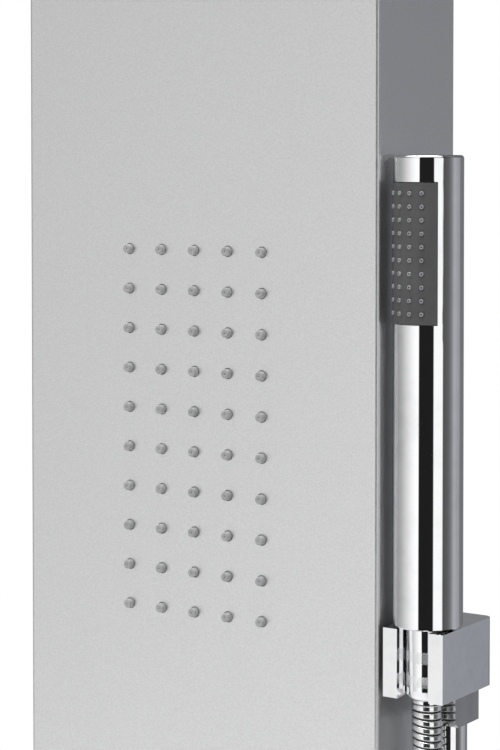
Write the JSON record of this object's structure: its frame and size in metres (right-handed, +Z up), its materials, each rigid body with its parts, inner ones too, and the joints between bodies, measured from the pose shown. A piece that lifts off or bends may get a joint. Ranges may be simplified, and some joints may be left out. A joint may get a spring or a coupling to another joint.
{
  "type": "rainfall shower column",
  "caption": "Wall shower column: folded metal panel with a field of body jets, stick handset on a side bracket with hose, mixer lever, diverter knob and tilting rain head.",
  "frame": {"origin": "centre of the four wall screw holes, on the wall plane behind the column", "axes": "+Z up, +X to the right seen from the front, +Y into the wall, so the front faces -Y"},
  "size_m": [0.2434, 0.509, 1.402],
  "materials": {
    "satin_steel": "satin, fine grain",
    "zinc_steel": "zinc plated",
    "nozzle_rubber": "soft silicone",
    "black_plastic": "moulded",
    "copper_pipe": "drawn copper",
    "brass": "machined",
    "white_plastic": "moulded",
    "steel_stem": "turned",
    "chrome": "polished",
    "spray_plate": "satin",
    "hose_metal": "polished interlocked strip"
  },
  "bodies": {
    "column": {"column_shell": "satin_steel", "top_cap": "satin_steel", "bottom_cap": "satin_steel", "wall_bracket_upper": "zinc_steel", "wall_bracket_lower": "zinc_steel", "hanger_bars": "zinc_steel", "jet_nozzle_mat": "nozzle_rubber", "jet_box": "black_plastic", "jet_box_studs": "zinc_steel", "jet_box_nuts": "zinc_steel", "jets_pipe": "copper_pipe", "riser_pipe": "copper_pipe", "link_pipe": "copper_pipe", "outlet_pipe": "copper_pipe", "supply_pipe_hot": "copper_pipe", "supply_pipe_cold": "copper_pipe", "supply_nuts": "brass", "mixer_body": "brass", "mixer_cartridge": "white_plastic", "mixer_cartridge_nut": "brass", "mixer_mount_ring": "brass", "mixer_escutcheon": "chrome", "diverter_body": "brass", "diverter_cartridge": "white_plastic", "diverter_cartridge_nut": "brass", "diverter_mount_ring": "brass", "diverter_escutcheon": "chrome", "handset_bracket": "chrome", "bracket_gasket": "black_plastic", "bracket_nipple": "brass", "bracket_backnut": "brass", "bracket_screws": "zinc_steel", "outlet_block": "chrome", "outlet_hose_nut": "chrome", "outlet_ferrule": "chrome", "shower_hose": "hose_metal", "arm_elbow": "brass", "rain_arm": "chrome", "arm_flange": "chrome", "ball_stud": "chrome"},
    "mixer_turn": {"mixer_spindle": "steel_stem", "mixer_pivot_pin": "steel_stem"},
    "mixer_lever": {"mixer_lever_cap": "chrome", "mixer_lever_rod": "chrome"},
    "diverter_control": {"diverter_spindle": "steel_stem", "diverter_knob": "chrome", "diverter_knob_screw": "black_plastic"},
    "hose_end": {"hose_ferrule": "chrome"},
    "handset": {"hose_nut": "chrome", "hose_washer": "black_plastic", "handset_waterway": "white_plastic", "handset_body": "chrome", "handset_cap": "chrome", "handset_spray_plate": "spray_plate", "handset_nozzle_mat": "nozzle_rubber"},
    "ball_ring": {"ball_seal": "black_plastic"},
    "rain_head": {"ball_nut": "chrome", "rain_shell": "chrome", "rain_faceplate": "chrome", "rain_nozzle_mat": "nozzle_rubber"}
  },
  "joints": [
    {"name": "mixer_temperature", "type": "hinge", "parent": "column", "child": "mixer_turn", "pos_m": [0, -0.091, -0.33], "axis": [0, -1, 0], "range_deg": [-45, 45]},
    {"name": "mixer_flow", "type": "hinge", "parent": "mixer_turn", "child": "mixer_lever", "pos_m": [0, -0.091, -0.33], "axis": [-1, 0, 0], "range_deg": [0, 25]},
    {"name": "diverter_turn", "type": "hinge", "parent": "column", "child": "diverter_control", "pos_m": [0, -0.09, -0.15], "axis": [0, -1, 0], "range_deg": [-90, 90]},
    {"name": "handset_lift", "type": "slide", "parent": "column", "child": "hose_end", "axis": [0, 0, 1], "range_m": [0, 0.06]},
    {"name": "handset_turn", "type": "hinge", "parent": "hose_end", "child": "handset", "pos_m": [0.1175, -0.0549, 0.175], "axis": [0, 0, 1], "continuous": true},
    {"name": "rain_pitch", "type": "hinge", "parent": "column", "child": "ball_ring", "pos_m": [0, -0.399, 0.545], "axis": [1, 0, 0], "range_deg": [-15, 15]},
    {"name": "rain_roll", "type": "hinge", "parent": "ball_ring", "child": "rain_head", "pos_m": [0, -0.399, 0.545], "axis": [0, 1, 0], "range_deg": [-15, 15]}
  ]
}
